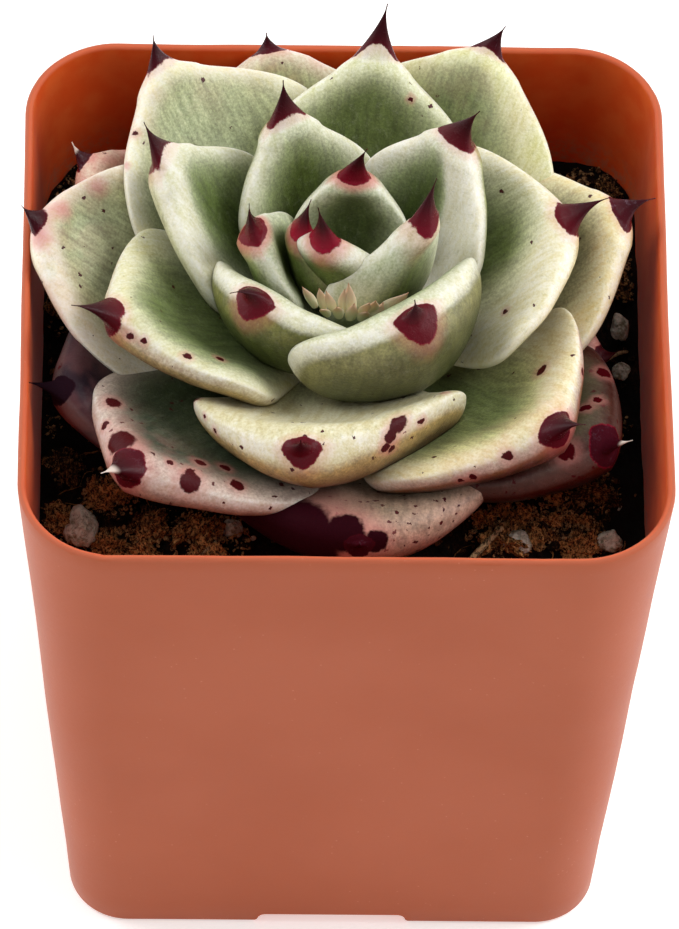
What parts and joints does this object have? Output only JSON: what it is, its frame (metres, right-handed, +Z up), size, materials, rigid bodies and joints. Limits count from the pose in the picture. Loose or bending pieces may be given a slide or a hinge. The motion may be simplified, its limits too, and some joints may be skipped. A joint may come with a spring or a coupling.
{
  "type": "potted succulent",
  "caption": "Echeveria rosette of thick cupped leaves with dark red thorn tips, rooted in soil in a small tapered square terracotta-coloured plastic pot.",
  "frame": {"origin": "middle of the pot's foot, in the plane of the surface that it stands on", "axes": "+Z up, along the pot's height; +X to the right and -Y to the front of the pot as pictured"},
  "size_m": [0.052, 0.052, 0.0712],
  "materials": {
    "pot_plastic": "satin terracotta plastic",
    "soil": "loose peat with fibres",
    "stem": "woody",
    "leaf_green": "waxy grey-green with cream margins",
    "leaf_blushed": "waxy, blushed and freckled with dark red",
    "leaf_dark": "waxy dark red",
    "bud": "papery cream and pink",
    "perlite": "matt and porous"
  },
  "bodies": {
    "root": {"pot": "pot_plastic", "soil": "soil", "stem": "stem", "leaf_01": "leaf_green", "leaf_02": "leaf_green", "leaf_03": "leaf_green", "leaf_04": "leaf_green", "leaf_05": "leaf_green", "leaf_06": "leaf_green", "leaf_07": "leaf_green", "leaf_08": "leaf_green", "leaf_09": "leaf_green", "leaf_10": "leaf_green", "leaf_11": "leaf_green", "leaf_12": "leaf_green", "leaf_13": "leaf_green", "leaf_14": "leaf_green", "leaf_15": "leaf_blushed", "leaf_16": "leaf_blushed", "leaf_17": "leaf_blushed", "leaf_18": "leaf_blushed", "leaf_19": "leaf_blushed", "leaf_20": "leaf_blushed", "leaf_21": "leaf_blushed", "leaf_22": "leaf_dark", "leaf_23": "leaf_dark", "leaf_24": "leaf_dark", "leaf_25": "leaf_dark", "leaf_26": "leaf_dark", "leaf_27": "leaf_dark", "flower_bud": "bud", "perlite_1": "perlite", "perlite_2": "perlite", "perlite_3": "perlite", "perlite_4": "perlite", "perlite_5": "perlite", "perlite_6": "perlite"}
  },
  "joints": []
}
